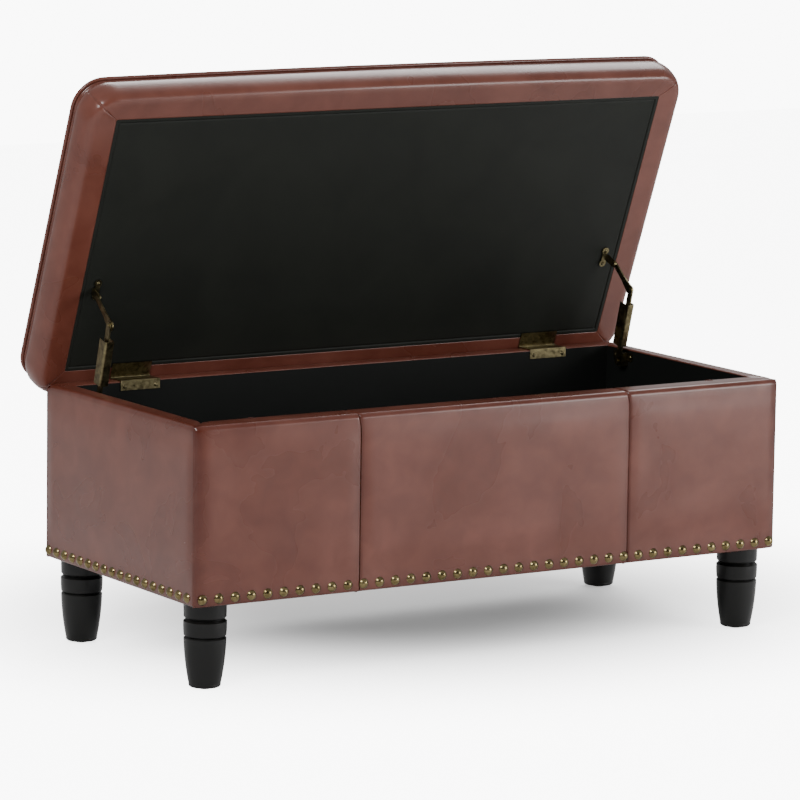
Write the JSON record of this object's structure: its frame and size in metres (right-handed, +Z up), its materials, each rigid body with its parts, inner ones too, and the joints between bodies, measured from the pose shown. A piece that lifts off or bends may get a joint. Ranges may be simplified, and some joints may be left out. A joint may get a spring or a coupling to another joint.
{
  "type": "storage bench",
  "caption": "Upholstered storage bench: leather box on turned legs with nailhead trim and a padded hinged lid held open by folding stays.",
  "frame": {"origin": "on the floor under the middle of the bench's bounding box with its lid open", "axes": "+X along the width to the right seen from the front, front faces -Y, +Z up; the rest pose has the lid open on its stays"},
  "size_m": [1.104, 0.5606, 0.8948],
  "materials": {
    "leather": "semi-gloss reddish brown with cloudy mottling",
    "lining_fabric": "matt near-black lining cloth",
    "dust_fabric": "matt black non-woven",
    "board_wood": "bare plywood",
    "foam": "open-cell foam",
    "black_lacquer": "satin black lacquer",
    "nail_brass": "antique brass",
    "glide_nylon": "black nylon",
    "zinc_steel": "zinc plated",
    "stay_spring_steel": "oiled steel",
    "antique_brass": "dark antique brass"
  },
  "bodies": {
    "box": {"back_board": "board_wood", "back_cover": "leather", "back_left_leg": "black_lacquer", "back_lining": "lining_fabric", "back_right_leg": "black_lacquer", "bottom_board": "board_wood", "dust_cover": "dust_fabric", "floor_lining": "lining_fabric", "front_board": "board_wood", "front_cover_centre": "leather", "front_cover_left": "leather", "front_cover_right": "leather", "front_left_leg": "black_lacquer", "front_lining": "lining_fabric", "front_nails": "nail_brass", "front_right_leg": "black_lacquer", "glides": "glide_nylon", "hanger_bolts": "zinc_steel", "hinge_box_screws": "antique_brass", "hinge_pins": "antique_brass", "left_board": "board_wood", "left_cover": "leather", "left_hinge_box_leaf": "antique_brass", "left_lining": "lining_fabric", "left_stay_foot_bracket": "antique_brass", "right_board": "board_wood", "right_cover": "leather", "right_hinge_box_leaf": "antique_brass", "right_lining": "lining_fabric", "right_stay_foot_bracket": "antique_brass", "side_nails": "nail_brass", "stay_foot_rivets": "antique_brass", "stay_foot_screws": "antique_brass", "t_nuts": "zinc_steel", "wall_padding": "foam"},
    "lid": {"lid_board": "board_wood", "lid_foam": "foam", "lid_border": "leather", "lid_top_cover": "leather", "lid_piping": "leather", "lid_lining": "lining_fabric", "left_hinge_lid_leaf": "antique_brass", "right_hinge_lid_leaf": "antique_brass", "hinge_lid_screws": "antique_brass", "left_stay_lid_bracket": "antique_brass", "right_stay_lid_bracket": "antique_brass", "stay_lid_screws": "antique_brass", "stay_lid_rivets": "antique_brass"},
    "left_stay_lower": {"left_stay_strap": "antique_brass", "left_stay_housing": "antique_brass", "left_stay_spring": "stay_spring_steel"},
    "left_stay_upper": {"left_stay_arm": "antique_brass", "left_stay_middle_rivet": "antique_brass"},
    "right_stay_lower": {"right_stay_strap": "antique_brass", "right_stay_housing": "antique_brass", "right_stay_spring": "stay_spring_steel"},
    "right_stay_upper": {"right_stay_arm": "antique_brass", "right_stay_middle_rivet": "antique_brass"}
  },
  "joints": [
    {"name": "lid_hinge", "type": "hinge", "parent": "box", "child": "lid", "pos_m": [0, 0.20066, 0.408], "axis": [-1, 0, 0], "range_deg": [-68, 0]},
    {"name": "left_stay_foot", "type": "hinge", "parent": "box", "child": "left_stay_lower", "pos_m": [-0.487, 0.11366, 0.387], "axis": [-1, 0, 0], "range_deg": [-82.5, 0.5]},
    {"name": "left_stay_lid_pivot", "type": "hinge", "parent": "lid", "child": "left_stay_upper", "pos_m": [-0.487, 0.12316, 0.5485], "axis": [-1, 0, 0], "range_deg": [-0.5, 90.7]},
    {"name": "right_stay_foot", "type": "hinge", "parent": "box", "child": "right_stay_lower", "pos_m": [0.487, 0.11366, 0.387], "axis": [-1, 0, 0], "range_deg": [-82.5, 0.5]},
    {"name": "right_stay_lid_pivot", "type": "hinge", "parent": "lid", "child": "right_stay_upper", "pos_m": [0.487, 0.12316, 0.5485], "axis": [-1, 0, 0], "range_deg": [-0.5, 90.7]}
  ],
  "couplings": [
    {"joint": "left_stay_foot", "follows": "lid_hinge", "ratio": 1.2082},
    {"joint": "left_stay_lid_pivot", "follows": "lid_hinge", "ratio": -1.3287},
    {"joint": "right_stay_foot", "follows": "lid_hinge", "ratio": 1.2082},
    {"joint": "right_stay_lid_pivot", "follows": "lid_hinge", "ratio": -1.3287}
  ]
}
